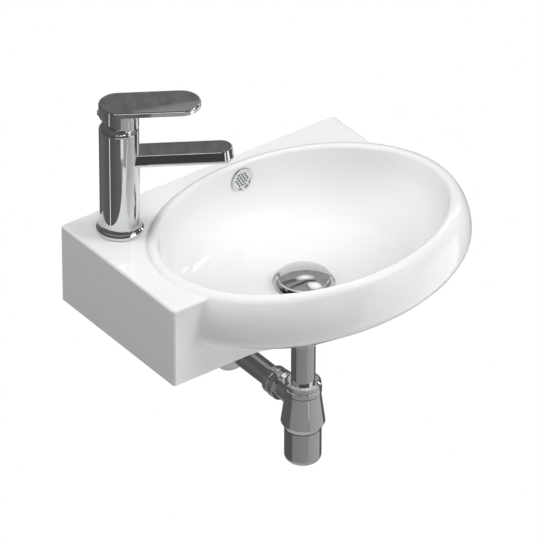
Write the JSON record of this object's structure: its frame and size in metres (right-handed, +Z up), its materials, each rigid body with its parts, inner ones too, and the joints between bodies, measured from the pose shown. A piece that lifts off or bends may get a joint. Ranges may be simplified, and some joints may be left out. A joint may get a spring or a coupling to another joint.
{
  "type": "wall-mounted sink",
  "caption": "Wall-hung glazed basin: an oval bowl stands out of a box-shaped tap shelf, with a flat-lever mixer tap, a push-down plug and a chrome bottle trap.",
  "frame": {"origin": "on the wall plane, midway between the two wall bolts' axes", "axes": "+X to the right along the wall seen from the room, +Y into the wall, +Z up; the wall is the plane Y = 0"},
  "size_m": [0.448, 0.3855, 0.512],
  "materials": {
    "glazed_white": "gloss",
    "chrome_plate": "mirror-polished plate",
    "black_rubber": "matt",
    "white_plastic": "satin",
    "grey_plastic": "satin",
    "zinc_steel": "zinc-plated",
    "ceramic_disc": "lapped",
    "bare_brass": "turned"
  },
  "bodies": {
    "fixed": {"aerator_housing": "chrome_plate", "aerator_insert": "grey_plastic", "aerator_seal": "black_rubber", "basin": "glazed_white", "bonnet": "chrome_plate", "cartridge_housing": "grey_plastic", "cartridge_nut": "bare_brass", "cartridge_seal": "black_rubber", "cup_gasket": "black_rubber", "fixed_disc": "ceramic_disc", "guide_spider": "white_plastic", "horseshoe_gasket": "black_rubber", "horseshoe_washer": "zinc_steel", "hose_block": "bare_brass", "inlet_ferrule": "white_plastic", "inlet_nut": "chrome_plate", "outlet_ferrule": "white_plastic", "outlet_nut": "chrome_plate", "outlet_pipe": "chrome_plate", "overflow_cover": "chrome_plate", "plug_spring": "zinc_steel", "stud_nut": "zinc_steel", "tailpiece": "chrome_plate", "tap_base_ring": "chrome_plate", "tap_body": "chrome_plate", "tap_gasket": "black_rubber", "tap_spout": "chrome_plate", "tap_stud": "zinc_steel", "trap_cup": "chrome_plate", "trap_head": "chrome_plate", "wall_bolts": "zinc_steel", "wall_nuts": "zinc_steel", "wall_rosette": "chrome_plate", "wall_sleeves": "white_plastic", "wall_washers": "zinc_steel", "waste_back_nut": "bare_brass", "waste_body": "chrome_plate", "waste_lower_gasket": "black_rubber", "waste_upper_seal": "black_rubber"},
    "turret": {"carrier": "white_plastic", "stem_pin": "zinc_steel"},
    "lever": {"stem": "zinc_steel", "lever_handle": "chrome_plate", "grub_screw": "zinc_steel", "index_plug": "grey_plastic"},
    "mixing_disc": {"moving_disc": "ceramic_disc"},
    "plug": {"plug_cap": "chrome_plate", "plug_seal": "black_rubber", "plug_stem": "bare_brass"}
  },
  "joints": [
    {"name": "lever_turn", "type": "hinge", "parent": "fixed", "child": "turret", "pos_m": [-0.1483, -0.0462, 0.2125], "axis": [0, 0, 1], "range_deg": [-45, 45]},
    {"name": "lever_lift", "type": "hinge", "parent": "turret", "child": "lever", "pos_m": [-0.1483, -0.0462, 0.2125], "axis": [-0.5314, -0.8471, 0], "range_deg": [0, 20]},
    {"name": "disc_slide", "type": "slide", "parent": "turret", "child": "mixing_disc", "axis": [0.8471, -0.5314, 0], "range_m": [0, 0.0046]},
    {"name": "plug_press", "type": "slide", "parent": "fixed", "child": "plug", "axis": [0, 0, -1], "range_m": [0, 0.006], "stiffness_N_per_m": 300, "springref_m": -0.012, "deforming": ["plug_spring"]}
  ],
  "couplings": [
    {"joint": "disc_slide", "follows": "lever_lift", "m_per_rad": 0.013176}
  ]
}
